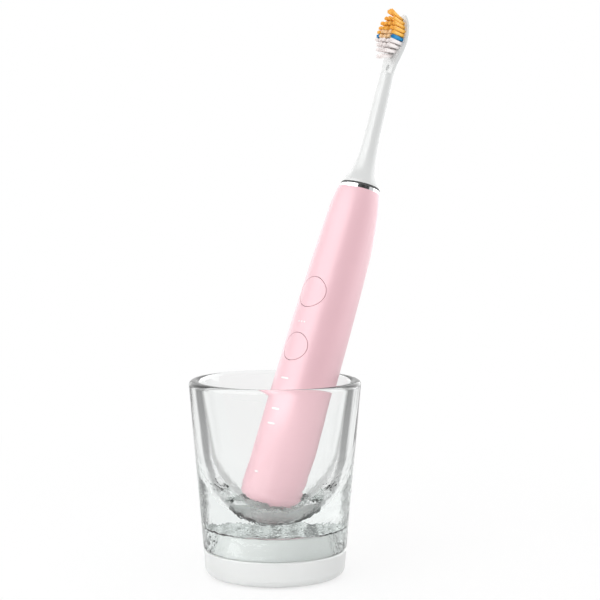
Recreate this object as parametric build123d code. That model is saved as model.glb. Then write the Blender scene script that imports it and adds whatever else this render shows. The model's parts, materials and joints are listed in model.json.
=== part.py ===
from build123d import *
import math
import os

os.makedirs("parts", exist_ok=True)

# Clearances, in millimetres like every length below
FIT = 0.05
RUNNING = 0.04
SEAT_GAP = 0.2
REST_GAP = 0.3
BUTTON_GAP = 0.25
PART_GAP = 0.3

# Slanted outside wall that the charger and the tumbler share
WALL_FLOOR_RADIUS = 32.75
WALL_TAPER = 4.9

# Charger base
BASE_HEIGHT = 13.0
BASE_WALL = 2.0
BASE_LOWER_EDGE = 4.0
BASE_UPPER_EDGE = 0.7
LOCATOR_RADIUS = 26.4
LOCATOR_HEIGHT = 9.6
LOCATOR_DRAFT = 14.0
LOCATOR_EDGE = 0.6
FOOT_PROUD = 0.6
FOOT_PAD = 1.2
PAD_INSET = 0.7
BOTTOM_PLATE = 2.4
BOTTOM_LIP = 0.8
SCREW_COUNT = 3
SCREW_RADIUS = 1.0
SCREW_HEAD_RADIUS = 1.9
SCREW_HEAD = 0.8
SCREW_LENGTH = 7.0
SCREW_SLOT = 0.5
BOSS_RADIUS = 2.6
TRANSMIT_COIL_INNER = 5.0
TRANSMIT_COIL_OUTER = 16.0
TRANSMIT_COIL_HEIGHT = 2.0
COIL_FERRITE = 1.0
CHARGER_BOARD_RADIUS = 18.0
CHARGER_BOARD = 1.2
CHARGER_POST = 1.6
CHARGER_POST_RADIUS = 1.5
CHARGER_CHIP = (6.0, 6.0, 1.2)
CAPACITOR = (3.2, 1.8, 1.5)
CAPACITOR_COUNT = 4
INLET_RADIUS = 1.7
GLAND_NECK = 2.3
GLAND_FLANGE = 3.0
GLAND_PROUD = 0.8
GLAND_HEIGHT = 7.8

# Tumbler
TUMBLER_HEIGHT = 79.6
RIM_WALL = 5.0
RIM_EDGE = 2.1
RIM_EDGE_SHARE = 0.45
TUMBLER_FOOT_EDGE = 1.2
BOWL_TAPER = 8.8
BOWL_FLOOR = 2.4
BOWL_CURVE = 44.0
PUNT_GAP = 0.8
PUNT_ROOM = 0.6
PUNT_EDGE = 0.8

# How the toothbrush leans in the tumbler, in degrees and millimetres
LEAN = 21.7
LEAN_AZIMUTH = 41.0
ROLL = -83.15
SIDE_SHIFT = -0.15

# Search for the place where the handle's foot meets the bowl
SEAT_RANGE = (0.3, 1.3)
SEAT_HALVINGS = 30
BOWL_STEPS = 240
EDGE_STEPS = 36

# Handle: foot radius, gentle taper, shoulder under the collar and forward bend
HANDLE_LENGTH = 162.75
FOOT_RADIUS = 15.0
TAPER = 3.05
TAPER_POWER = 3
SHOULDER = 2.35
SHOULDER_POWER = 22
HANDLE_STEPS = 24
HANDLE_WALL = 1.8
FOOT_EDGE = 4.5
BEND_LENGTH = 36.0
NECK_TILT = 4.15
CAP_SEAM = 7.0
CAP_FLOOR = 2.0
CAP_STEP = 1.0
CAP_SPIGOT = 5.0
SPIGOT_WALL = 1.2
SEAL_WIDTH = 1.1
SEAL_HEIGHT = 1.5

# Charging coil in the foot of the handle
RECEIVE_FERRITE_RADIUS = 3.5
BOBBIN_WALL = 0.9
BOBBIN_FLANGE = 1.0
BOBBIN_FLANGE_RADIUS = 9.8
RECEIVE_COIL_RADIUS = 9.4
RECEIVE_COIL_HEIGHT = 6.4

# Battery, chassis and circuit board
BATTERY_RADIUS = 7.0
BATTERY_LENGTH = 50.0
BATTERY_TAB = 0.5
BATTERY_TAB_RADIUS = 4.0
BATTERY_GAP = 0.6
CRADLE_WALL = 1.2
CRADLE_GAP = 0.15
CRADLE_OPEN_FRONT = 2.3
DISC_THICKNESS = 1.2
DISC_GAP = 0.4
SPINE_WIDTH = 10.0
SPINE_THICKNESS = 1.2
BOARD = 1.0
BOARD_DROP = 3.5
BOARD_EDGE_GAP = 0.5
SWITCH = (4.0, 4.0, 1.0)
SWITCH_KEY_RADIUS = 1.0
SWITCH_KEY = 0.4
CHIP = (5.0, 6.0, 1.0)
LED = (1.6, 0.9, 0.8)

# Buttons and lights on the front, by distance below the collar
POWER_DROP = 58.5
POWER_RADIUS = 7.5
MODE_DROP = 86.0
MODE_RADIUS = 6.8
BUTTON_THICKNESS = 2.6
BUTTON_TRAVEL = 0.4
POST_RADIUS = 2.5
POST_GAP = 0.1
BOOT_RADIUS = 5.2
BOOT = 0.5
MODE_LIGHT_DROPS = (101.8, 117.4, 124.5)
MODE_LIGHT = (4.6, 0.9)
BATTERY_LIGHT_DROP = 148.2
BATTERY_LIGHT = (2.2, 1.0)
LEVEL_LIGHT_DROP = 73.6
LEVEL_LIGHT_RADIUS = 0.45
LEVEL_LIGHT_PITCH = 1.7
LEVEL_LIGHT_COUNT = 3

# Collar, seal and drive along the leaning neck axis
COLLAR_HEIGHT = 2.4
COLLAR_RADIUS = 9.6
COLLAR_EDGE = 0.35
SPIGOT_RADIUS = 7.5
SPIGOT_SET_DOWN = 0.4
DECK_DEPTH = 14.0
SHAFT_RADIUS = 2.0
SHAFT_PROUD = 21.0
SHAFT_FLAT = 1.4
SHAFT_FLAT_LENGTH = 15.0
SEAL_RADIUS = 5.0
BEARING_RADIUS = 5.0
BEARING_HEIGHT = 4.0
MOTOR_DEPTH = 46.0
MOTOR_RADIUS = 8.0
MOTOR_WALL = 0.8
MOTOR_END = 1.5
LOWER_BEARING_RADIUS = 4.0
LOWER_BEARING_HEIGHT = 3.0
LOWER_HUB_WALL = 1.0
STATOR_LENGTH = 14.0
STATOR_LIFT = 6.5
STATOR_BORE = 4.9
STATOR_COIL_LENGTH = 7.0
ROTOR_CORE_RADIUS = 3.2
AIR_GAP = 0.4
MAGNET_COUNT = 4
MAGNET_SPACE = 1.0

# Skirt and round neck of the brush head: height above the collar and radius
SKIRT_GAP = 0.4
NECK_PROFILE = (
    (SKIRT_GAP, 9.25),
    (2.7, 8.5),
    (5.2, 7.1),
    (7.8, 6.1),
    (10.4, 5.45),
    (14.0, 4.85),
    (20.0, 4.35),
    (36.0, 3.95),
    (52.0, 3.6),
)

# Head over the neck: height above the collar, half width and half depth of each section
LIP_HEIGHT = 57.5
HEAD_SECTIONS = (
    (54.75, 3.53, 3.53),
    (LIP_HEIGHT, 3.5, 3.5),
    (60.25, 3.65, 3.45),
    (63.0, 4.0, 3.4),
    (69.0, 5.4, 3.25),
    (75.0, 6.5, 3.1),
    (80.5, 5.9, 2.9),
    (84.5, 4.6, 2.6),
    (87.2, 2.9, 2.0),
    (88.7, 1.5, 1.2),
    (89.2, 0.6, 0.5),
)

# Over its lip the head leans back, and its front is cut to a flat face, where heights count from the lip
HEAD_LEAN = 4.2
LIP_SLOPE = 16.0
FACE_FORWARD = 1.2
MARK_HEIGHT = 3.1
MARK_SIZE = (0.9, 1.5)
MARK_DEPTH = 0.4

# Inside of the skirt and neck: bore, socket and spring clip
SKIRT_BORE = 7.2
SKIRT_BORE_DEPTH = 6.0
SOCKET_RADIUS = 3.2
SOCKET_LIFT = 1.0
SOCKET_END = 1.2
CLIP_WALL = 0.4
CLIP_LOW = 9.0
CLIP_HIGH = 15.0
CLIP_OPENING = 2.4

# Bristle field: an oval pocket on the face, and the tufts that stand in it
FIELD_CENTRE = 19.0
FIELD_HALF_LENGTH = 10.4
FIELD_HALF_WIDTH = 5.4
SLICE = 0.7
WHITE_ROWS = 4
BLUE_ROWS = 1
PALE_ROWS = 2
PALE_COLUMNS = 3
TUFT_PITCH_ACROSS = 2.0
TUFT_PITCH_ALONG = 2.1
TUFT_EDGE = 0.25
TUFT_LENGTH = 9.6
TUFT_CROWN = 0.9
TUFT_SIDE_DROP = 0.15
TUFT_SIDE = 3
STRAND_PITCH = 0.46
STRAND_WIDTH = 0.27
TUFT_TILT = -10.7
TUFT_FAN = 17.0
SPREAD = 1.0

# Cutting blocks reach well past every piece; short cuts and joins run a little past a face
REACH = 400.0
PAST = 1.0
SAME = 0.01


def disc(radius, low, high):
    """Cylinder on the Z axis between two heights."""
    return Pos(0, 0, (low + high) / 2) * Cylinder(radius, high - low)


def ring(outer, inner, low, high):
    """Plain ring on the Z axis between two heights."""
    return disc(outer, low, high) - disc(inner, low - REACH, high + REACH)


def block(x_span, y_span, z_span):
    """Box between two limits on each axis."""
    middle = [(span[0] + span[1]) / 2 for span in (x_span, y_span, z_span)]
    sides = [span[1] - span[0] for span in (x_span, y_span, z_span)]
    return Pos(*middle) * Box(*sides)


def above(level):
    """Everything over a height."""
    return block((-REACH, REACH), (-REACH, REACH), (level, REACH))


def below(level):
    """Everything under a height."""
    return block((-REACH, REACH), (-REACH, REACH), (-REACH, level))


def plate(size, low):
    """Centred box of a length, width and height that starts at a height."""
    return Pos(0, 0, low + size[2] / 2) * Box(*size)


def turned(outline):
    """Solid of revolution about Z from a closed outline of radius and height."""
    return revolve(Plane.XZ * make_face(outline), Axis.Z)


def circle_edges(part, radius, height):
    """Circular edges of a turned piece at a radius and height."""
    rounds = part.edges().filter_by(GeomType.CIRCLE)
    return [e for e in rounds if abs(e.radius - radius) < SAME and abs(e.arc_center.Z - height) < SAME]


def around(count, radius, start=0.0):
    """Places evenly spaced on a circle."""
    for k in range(count):
        angle = math.radians(start + 360.0 * k / count)
        yield Pos(radius * math.cos(angle), radius * math.sin(angle), 0)


def wall_radius(height):
    """Radius of the shared outside wall."""
    return WALL_FLOOR_RADIUS + height * math.tan(math.radians(WALL_TAPER))


# Heights and radii of the charger
PLATE_TOP = FOOT_PROUD + BOTTOM_PLATE
BASE_CEILING = BASE_HEIGHT - BASE_WALL
LOCATOR_TOP = BASE_HEIGHT + LOCATOR_HEIGHT
LOCATOR_CEILING = LOCATOR_TOP - BASE_WALL
BASE_OPENING = wall_radius(FOOT_PROUD) - BASE_LOWER_EDGE - BOTTOM_LIP
PAD_RADIUS = BASE_OPENING - PAD_INSET
BOSS_PLACE = PAD_RADIUS - BOSS_RADIUS
SCREW_FACE = FOOT_PAD + SCREW_HEAD
COIL_LOW = LOCATOR_CEILING - TRANSMIT_COIL_HEIGHT
BOARD_LOW = PLATE_TOP + CHARGER_POST
BOARD_TOP = BOARD_LOW + CHARGER_BOARD
POST_PLACE = CHARGER_BOARD_RADIUS - CHARGER_POST_RADIUS - PART_GAP


def locator_radius(height):
    """Radius of the slanted puck that the tumbler's hollow foot fits over."""
    return LOCATOR_RADIUS + (LOCATOR_TOP - height) * math.tan(math.radians(LOCATOR_DRAFT))


def frustum(low, low_radius, high, high_radius):
    """Solid cone between two heights."""
    return turned(Polyline((0, low), (low_radius, low), (high_radius, high), (0, high), close=True))


def base_form():
    """Outside of the charger as a solid: the round foot and the puck on it."""
    low, high = wall_radius(FOOT_PROUD), wall_radius(BASE_HEIGHT)
    form = frustum(FOOT_PROUD, low, BASE_HEIGHT, high)
    form = fillet(circle_edges(form, low, FOOT_PROUD), BASE_LOWER_EDGE)
    form = fillet(circle_edges(form, high, BASE_HEIGHT), BASE_UPPER_EDGE)
    buried = BASE_HEIGHT - PAST
    puck = frustum(buried, locator_radius(buried), LOCATOR_TOP, LOCATOR_RADIUS)
    return form + fillet(circle_edges(puck, LOCATOR_RADIUS, LOCATOR_TOP), LOCATOR_EDGE)


def make_base_housing():
    """Top with its puck and side wall, with screw bosses and the cord hole."""
    side_low = FOOT_PROUD + BASE_LOWER_EDGE
    inside = turned(Polyline(
        (0, 0),
        (BASE_OPENING, 0),
        (BASE_OPENING, PLATE_TOP),
        (wall_radius(side_low) - BASE_WALL, side_low),
        (wall_radius(BASE_CEILING) - BASE_WALL, BASE_CEILING),
        (locator_radius(BASE_CEILING) - BASE_WALL, BASE_CEILING),
        (locator_radius(LOCATOR_CEILING) - BASE_WALL, LOCATOR_CEILING),
        (0, LOCATOR_CEILING),
        close=True,
    ))
    form = base_form()
    housing = form - inside
    for place in around(SCREW_COUNT, BOSS_PLACE, 90):
        housing += form & place * disc(BOSS_RADIUS, PLATE_TOP, LOCATOR_CEILING + PAST)
    for place in around(SCREW_COUNT, BOSS_PLACE, 90):
        housing -= place * disc(SCREW_RADIUS + FIT, PLATE_TOP - PAST, FOOT_PAD + SCREW_LENGTH + FIT)
    return housing - inlet_axis() * disc(GLAND_NECK, 0, REACH)


def inlet_axis():
    """Place of the cord inlet, pointing out of the back."""
    return Pos(0, 0, GLAND_HEIGHT) * Rotation(-90, 0, 0)


def make_cord_gland(housing):
    """Rubber grommet that grips the back wall and leaves a hole for the cord."""
    outside = wall_radius(GLAND_HEIGHT)
    sleeve = ring(GLAND_FLANGE, INLET_RADIUS, outside - BASE_WALL - GLAND_PROUD, outside + GLAND_PROUD)
    return inlet_axis() * sleeve - housing


def make_base_bottom():
    """Bottom plate with the recess for the foot pad, screw holes and board posts."""
    bottom = disc(BASE_OPENING - FIT, FOOT_PROUD, PLATE_TOP)
    bottom -= disc(PAD_RADIUS + FIT, 0, FOOT_PAD)
    for place in around(SCREW_COUNT, BOSS_PLACE, 90):
        bottom -= place * disc(SCREW_RADIUS + FIT, 0, PLATE_TOP + PAST)
        bottom -= place * disc(SCREW_HEAD_RADIUS + FIT, 0, SCREW_FACE)
    for place in around(SCREW_COUNT, POST_PLACE, 30):
        bottom += place * disc(CHARGER_POST_RADIUS, PLATE_TOP - PAST, BOARD_LOW)
    return bottom


def make_base_screws():
    """Screws that hold the bottom plate to the bosses."""
    head = disc(SCREW_HEAD_RADIUS, FOOT_PAD, SCREW_FACE)
    slot = block((-REACH, REACH), (-SCREW_SLOT / 2, SCREW_SLOT / 2), (0, FOOT_PAD + SCREW_HEAD / 2))
    screw = head - slot + disc(SCREW_RADIUS, FOOT_PAD + SCREW_HEAD / 2, FOOT_PAD + SCREW_LENGTH)
    return Part() + [place * screw for place in around(SCREW_COUNT, BOSS_PLACE, 90)]


def charger_pieces():
    """Every piece of the charger base."""
    housing = make_base_housing()
    capacitor = plate(CAPACITOR, BOARD_TOP)
    capacitors = [place * capacitor for place in around(CAPACITOR_COUNT, POST_PLACE / 2)]
    return {
        "base_housing": housing,
        "base_bottom_plate": make_base_bottom(),
        "base_screws": make_base_screws(),
        "foot_pad": disc(PAD_RADIUS, 0, FOOT_PAD),
        "cord_gland": make_cord_gland(housing),
        "transmit_coil": ring(TRANSMIT_COIL_OUTER, TRANSMIT_COIL_INNER, COIL_LOW, LOCATOR_CEILING),
        "transmit_ferrite": disc(TRANSMIT_COIL_OUTER, COIL_LOW - COIL_FERRITE, COIL_LOW),
        "charger_board": disc(CHARGER_BOARD_RADIUS, BOARD_LOW, BOARD_TOP),
        "charger_chip": plate(CHARGER_CHIP, BOARD_TOP),
        "charger_capacitors": Part() + capacitors,
    }


# Tumbler heights and the egg-shaped bowl: an ellipse that meets the slanted inner wall smoothly
TUMBLER_FOOT = BASE_HEIGHT + SEAT_GAP
RIM = TUMBLER_FOOT + TUMBLER_HEIGHT
PUNT_TOP = LOCATOR_TOP + PUNT_ROOM
FLOOR = PUNT_TOP + BOWL_FLOOR
BOWL_CENTRE = FLOOR + BOWL_CURVE
BOWL_SLOPE = math.tan(math.radians(BOWL_TAPER))
RIM_INNER = wall_radius(RIM) - RIM_WALL
RIM_ROUND = min(RIM_EDGE, RIM_EDGE_SHARE * RIM_WALL)
BOWL_MIDDLE = RIM_INNER - BOWL_SLOPE * (RIM - BOWL_CENTRE)
BOWL_WIDTH = math.sqrt(BOWL_MIDDLE ** 2 - (BOWL_SLOPE * BOWL_CURVE) ** 2)
MEET_RADIUS = BOWL_WIDTH ** 2 / BOWL_MIDDLE
MEET_HEIGHT = BOWL_CENTRE - BOWL_SLOPE * BOWL_CURVE ** 2 / BOWL_MIDDLE
MEET_ANGLE = math.degrees(math.atan2((MEET_HEIGHT - BOWL_CENTRE) / BOWL_CURVE, MEET_RADIUS / BOWL_WIDTH))


def make_tumbler():
    """Thick glass with an egg-shaped inside and a hollow foot that fits over the charger's puck."""
    punt = locator_radius(PUNT_TOP) + PUNT_GAP
    foot = wall_radius(TUMBLER_FOOT)
    outline = Polyline(
        (0, FLOOR),
        (0, PUNT_TOP),
        (punt, PUNT_TOP),
        (locator_radius(TUMBLER_FOOT) + PUNT_GAP, TUMBLER_FOOT),
        (foot, TUMBLER_FOOT),
        (wall_radius(RIM), RIM),
        (RIM_INNER, RIM),
        (MEET_RADIUS, MEET_HEIGHT),
    )
    bowl = EllipticalCenterArc((0, BOWL_CENTRE), BOWL_WIDTH, BOWL_CURVE, -90, arc_size=MEET_ANGLE + 90)
    glass = turned([outline, bowl])
    rim_edges = circle_edges(glass, wall_radius(RIM), RIM) + circle_edges(glass, RIM_INNER, RIM)
    glass = fillet(rim_edges, RIM_ROUND)
    glass = fillet(circle_edges(glass, punt, PUNT_TOP), PUNT_EDGE)
    return fillet(circle_edges(glass, foot, TUMBLER_FOOT), TUMBLER_FOOT_EDGE)


def handle_radius(drop):
    """Outside radius of the handle at a distance below the collar."""
    share = 1 - drop / HANDLE_LENGTH
    return FOOT_RADIUS - TAPER * share ** TAPER_POWER - SHOULDER * share ** SHOULDER_POWER


def cavity_radius(height):
    """Inside radius of the handle shell at a height over its foot."""
    return handle_radius(HANDLE_LENGTH - height) - HANDLE_WALL


def spine(drop):
    """Place on the handle's middle line at a distance below the collar, tipped forward in the bend."""
    part_way = max(0.0, BEND_LENGTH - drop)
    tip = NECK_TILT * part_way / BEND_LENGTH
    bend_radius = BEND_LENGTH / math.radians(NECK_TILT)
    forward = bend_radius * (1 - math.cos(math.radians(tip)))
    straight = min(HANDLE_LENGTH - drop, HANDLE_LENGTH - BEND_LENGTH)
    return Pos(0, -forward, straight + bend_radius * math.sin(math.radians(tip))) * Rotation(tip, 0, 0)


COLLAR = spine(0.0)


def bowl_clearance(radius, height):
    """Distance from a point inside the bowl to the bowl."""
    angles = [-math.pi / 2 * k / BOWL_STEPS for k in range(BOWL_STEPS + 1)]
    curve = [(BOWL_WIDTH * math.cos(a), BOWL_CENTRE + BOWL_CURVE * math.sin(a)) for a in angles]
    return min(math.hypot(radius - r, height - z) for r, z in curve)


def brush_foot(contact, lip_height, reach):
    """Foot of the handle, in the lean's own plane, for a length from the foot to the rim's height."""
    lean = math.radians(LEAN)
    radius = handle_radius(HANDLE_LENGTH - reach)
    side = (radius + RIM_ROUND + REST_GAP) / math.cos(lean)
    return contact - side - reach * math.sin(lean), lip_height - reach * math.cos(lean)


def foot_clearance(foot):
    """Least distance from the rounded foot edge to the bowl."""
    lean = math.radians(LEAN)
    edge_radius = FOOT_RADIUS - FOOT_EDGE
    gaps = []
    for k in range(EDGE_STEPS):
        angle = 2 * math.pi * k / EDGE_STEPS
        along, across = edge_radius * math.cos(angle), edge_radius * math.sin(angle) + SIDE_SHIFT
        out = foot[0] + FOOT_EDGE * math.sin(lean) + along * math.cos(lean)
        up = foot[1] + FOOT_EDGE * math.cos(lean) - along * math.sin(lean)
        gaps.append(bowl_clearance(math.hypot(out, across), up) - FOOT_EDGE)
    return min(gaps)


def seat_brush():
    """Place of the toothbrush: its back on the rim and its foot in the bowl."""
    lip_height = RIM - RIM_ROUND
    contact = RIM_INNER - BOWL_SLOPE * RIM_ROUND + RIM_ROUND / math.cos(math.radians(BOWL_TAPER))
    short, long = [share * TUMBLER_HEIGHT for share in SEAT_RANGE]
    for _ in range(SEAT_HALVINGS):
        reach = (short + long) / 2
        foot = brush_foot(contact, lip_height, reach)
        if foot[1] > FLOOR and foot_clearance(foot) > REST_GAP:
            short = reach
        else:
            long = reach
    turn = Rotation(0, 0, LEAN_AZIMUTH)
    return turn * Pos(foot[0], SIDE_SHIFT, foot[1]) * Rotation(0, LEAN, 0) * Rotation(0, 0, ROLL)


def handle_loft(inset):
    """Handle outline from its foot edge to the collar, drawn in by a wall."""
    length = HANDLE_LENGTH - FOOT_EDGE
    drops = [length * (1 - k / HANDLE_STEPS) for k in range(HANDLE_STEPS + 1)]
    return loft([spine(drop) * Circle(handle_radius(drop) - inset) for drop in drops])


def handle_form():
    """Outside of the handle as a solid, with a rounded foot."""
    widest = handle_radius(HANDLE_LENGTH - FOOT_EDGE)
    flat = widest - FOOT_EDGE
    floor = Line((0, 0), (flat, 0))
    edge = CenterArc((flat, FOOT_EDGE), FOOT_EDGE, -90, 90)
    top = Polyline((widest, FOOT_EDGE), (0, FOOT_EDGE), (0, 0))
    return handle_loft(0.0) + turned([floor, edge, top])


def from_front(drop, solid):
    """Turn a solid so that its Z axis leaves the front of the handle at a distance below the collar."""
    return spine(drop) * Rotation(90, 0, 0) * solid


# Depths in front of the handle's middle line
BOARD_FRONT = handle_radius(POWER_DROP) - HANDLE_WALL - BOARD_DROP
BOARD_BACK = BOARD_FRONT - BOARD
KEY_TOP = BOARD_FRONT + SWITCH[2] + SWITCH_KEY
POST_END = KEY_TOP + BUTTON_TRAVEL + POST_GAP
LED_TOP = BOARD_FRONT + LED[2]

# Heights over the foot of the handle
SPIGOT_TOP = CAP_SEAM + CAP_SPIGOT
BATTERY_LOW = SPIGOT_TOP + DISC_THICKNESS + BATTERY_TAB
BATTERY_HIGH = BATTERY_LOW + BATTERY_LENGTH
MIDDLE_DISC = BATTERY_HIGH + BATTERY_TAB
MOTOR_TIP = MOTOR_RADIUS * math.sin(math.radians(NECK_TILT)) + PART_GAP
TOP_DISC = HANDLE_LENGTH - MOTOR_DEPTH - MOTOR_TIP - DISC_THICKNESS
BATTERY_BACK = BATTERY_GAP + BATTERY_RADIUS - BOARD_BACK


def light_pipes(reach_past=0.0):
    """Mode and battery light pipes, as slots on the front, wider by a fit for their holes."""
    pipes = []
    sizes = [(drop, MODE_LIGHT) for drop in MODE_LIGHT_DROPS] + [(BATTERY_LIGHT_DROP, BATTERY_LIGHT)]
    for drop, (length, width) in sizes:
        slot = SlotOverall(length + 2 * reach_past, width + 2 * reach_past)
        pipe = Pos(0, 0, LED_TOP + PART_GAP) * extrude(slot, FOOT_RADIUS)
        pipes.append(from_front(drop, pipe))
    return pipes


def level_pipes(reach_past=0.0):
    """Three round light pipes between the buttons."""
    pipes = []
    for k in range(LEVEL_LIGHT_COUNT):
        across = (k - (LEVEL_LIGHT_COUNT - 1) / 2) * LEVEL_LIGHT_PITCH
        pipe = disc(LEVEL_LIGHT_RADIUS + reach_past, LED_TOP + PART_GAP, LED_TOP + FOOT_RADIUS)
        pipes.append(from_front(LEVEL_LIGHT_DROP, Pos(across, 0, 0) * pipe))
    return pipes


def make_handle_shell(form):
    """One-piece sleeve with a closed deck for the seal and bearing, button holes and light holes."""
    cavity = handle_loft(HANDLE_WALL) - COLLAR * above(-DECK_DEPTH)
    shell = form - cavity - below(CAP_SEAM) - COLLAR * above(-COLLAR_HEIGHT)
    shell += COLLAR * disc(SPIGOT_RADIUS, -COLLAR_HEIGHT - PAST, -SPIGOT_SET_DOWN)
    shell -= COLLAR * disc(SEAL_RADIUS + FIT, -DECK_DEPTH - PAST, PAST)
    shell -= from_front(POWER_DROP, disc(POWER_RADIUS + BUTTON_GAP, 0, REACH))
    shell -= from_front(MODE_DROP, disc(MODE_RADIUS + BUTTON_GAP, 0, REACH))
    for pipe in light_pipes(FIT) + level_pipes(FIT):
        shell -= pipe
    return shell


def make_end_cap(form):
    """Rounded foot with a spigot that enters the shell."""
    cap = form - above(CAP_SEAM)
    inside = cavity_radius(CAP_SEAM)
    cap += disc(inside - FIT, CAP_SEAM - PAST, CAP_SEAM + CAP_STEP)
    cap += disc(inside - SEAL_WIDTH, CAP_SEAM, SPIGOT_TOP)
    return cap - disc(inside - SEAL_WIDTH - SPIGOT_WALL, CAP_FLOOR, REACH)


def make_chassis():
    """Three discs, a battery cradle and a back spine in one moulding; the board lies on its flats."""
    discs = Part()
    for low in (SPIGOT_TOP, MIDDLE_DISC, TOP_DISC):
        discs += disc(cavity_radius(low + DISC_THICKNESS) - DISC_GAP, low, low + DISC_THICKNESS)
    bore = BATTERY_RADIUS + CRADLE_GAP
    cradle = ring(bore + CRADLE_WALL, bore, SPIGOT_TOP, MIDDLE_DISC + DISC_THICKNESS)
    cradle -= block((-REACH, REACH), (-REACH, -CRADLE_OPEN_FRONT), (0, REACH))
    spine_back = cavity_radius(TOP_DISC + DISC_THICKNESS) - DISC_GAP - SPINE_THICKNESS
    back = block(
        (-SPINE_WIDTH / 2, SPINE_WIDTH / 2),
        (spine_back - SPINE_THICKNESS, spine_back),
        (MIDDLE_DISC, TOP_DISC + DISC_THICKNESS),
    )
    frame = discs + Pos(0, BATTERY_BACK, 0) * cradle + back
    return frame - block((-REACH, REACH), (-REACH, -BOARD_BACK), (0, REACH))


def make_main_board():
    """Circuit board across the front of the chassis."""
    narrow = cavity_radius(TOP_DISC + DISC_THICKNESS) - BOARD_EDGE_GAP
    half = math.sqrt(narrow ** 2 - BOARD_FRONT ** 2)
    return block((-half, half), (-BOARD_FRONT, -BOARD_BACK), (SPIGOT_TOP, TOP_DISC + DISC_THICKNESS))


def make_switch(drop):
    """Press switch on the board under a button."""
    return from_front(drop, plate(SWITCH, BOARD_FRONT) + disc(SWITCH_KEY_RADIUS, BOARD_FRONT, KEY_TOP))


def make_leds():
    """Light on the board under each light pipe."""
    drops = MODE_LIGHT_DROPS + (BATTERY_LIGHT_DROP, LEVEL_LIGHT_DROP)
    return Part() + [from_front(drop, plate(LED, BOARD_FRONT)) for drop in drops]


def make_control_chips():
    """Charge control under the lights and motor control near the top of the board."""
    charge = (BATTERY_LIGHT_DROP + MODE_LIGHT_DROPS[-1]) / 2
    motor = (POWER_DROP + LEVEL_LIGHT_DROP) / 2 + LED[1]
    lower = from_front(charge, plate(CHIP, BOARD_FRONT))
    upper = from_front(motor, plate((CHIP[0], CHIP[1] / 2, CHIP[2]), BOARD_FRONT))
    return Part() + [lower, upper]


def button(form, drop, radius):
    """Flush cap whose face follows the handle, with a post over its switch."""
    back = handle_radius(drop) - BUTTON_THICKNESS
    cap = from_front(drop, disc(radius, back, REACH)) & form
    return cap + from_front(drop, disc(POST_RADIUS, POST_END, back + BUTTON_THICKNESS / 2))


def boot(drop):
    """Silicone ring on the back of a button, round its post."""
    back = handle_radius(drop) - BUTTON_THICKNESS
    return from_front(drop, ring(BOOT_RADIUS, POST_RADIUS + FIT, back - BOOT, back))


def receive_pieces():
    """Charging coil, its bobbin and its ferrite core, standing in the end cap."""
    tube = RECEIVE_FERRITE_RADIUS + FIT + BOBBIN_WALL
    coil_low = CAP_FLOOR + BOBBIN_FLANGE
    coil_high = coil_low + RECEIVE_COIL_HEIGHT
    top = coil_high + BOBBIN_FLANGE
    bobbin = disc(tube, CAP_FLOOR, top)
    for low in (CAP_FLOOR, coil_high):
        bobbin += disc(BOBBIN_FLANGE_RADIUS, low, low + BOBBIN_FLANGE)
    bobbin -= disc(RECEIVE_FERRITE_RADIUS + FIT, 0, REACH)
    return {
        "receive_bobbin": bobbin,
        "receive_coil": ring(RECEIVE_COIL_RADIUS, tube + FIT, coil_low, coil_high),
        "receive_ferrite": disc(RECEIVE_FERRITE_RADIUS, CAP_FLOOR, top),
    }


def handle_pieces():
    """Every piece that stays with the handle, in the handle's own frame."""
    form = handle_form()
    inside = cavity_radius(CAP_SEAM)
    cell = Pos(0, BATTERY_BACK, 0)
    tab = disc(BATTERY_TAB_RADIUS, BATTERY_LOW - BATTERY_TAB, BATTERY_LOW)
    tabs = [cell * tab, cell * Pos(0, 0, BATTERY_LENGTH + BATTERY_TAB) * tab]
    seal_low = CAP_SEAM + CAP_STEP
    pieces = {
        "handle_shell": make_handle_shell(form),
        "end_cap": make_end_cap(form),
        "end_cap_seal": ring(inside - FIT, inside - SEAL_WIDTH + FIT, seal_low, seal_low + SEAL_HEIGHT),
        "chassis": make_chassis(),
        "battery_cell": cell * disc(BATTERY_RADIUS, BATTERY_LOW, BATTERY_HIGH),
        "battery_tabs": Part() + tabs,
        "main_board": make_main_board(),
        "control_chips": make_control_chips(),
        "indicator_leds": make_leds(),
        "power_switch": make_switch(POWER_DROP),
        "mode_switch": make_switch(MODE_DROP),
        "mode_light_pipes": Part() + [pipe & form for pipe in light_pipes()],
        "level_light_pipes": Part() + [pipe & form for pipe in level_pipes()],
        "power_button": button(form, POWER_DROP, POWER_RADIUS),
        "power_button_boot": boot(POWER_DROP),
        "mode_button": button(form, MODE_DROP, MODE_RADIUS),
        "mode_button_boot": boot(MODE_DROP),
    }
    pieces.update(receive_pieces())
    return pieces


# Heights along the neck axis, from the collar
MOTOR_LOW = -MOTOR_DEPTH
HUB_TOP = MOTOR_LOW + MOTOR_END + LOWER_BEARING_HEIGHT
STATOR_LOW = MOTOR_LOW + STATOR_LIFT
STATOR_HIGH = STATOR_LOW + STATOR_LENGTH
ROTOR_RADIUS = STATOR_BORE - AIR_GAP
SEAL_TOP = -SPIGOT_SET_DOWN
STATOR_RADIUS = MOTOR_RADIUS - MOTOR_WALL - FIT


def shaft_section(clearance):
    """Drive shaft with a flat near its end, grown by a clearance for its socket."""
    rod = disc(SHAFT_RADIUS + clearance, MOTOR_LOW + MOTOR_END, SHAFT_PROUD + clearance)
    flat_low = SHAFT_PROUD - SHAFT_FLAT_LENGTH
    flat = block((-REACH, REACH), (SHAFT_FLAT + clearance, REACH), (flat_low + clearance, REACH))
    return rod - flat


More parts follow.
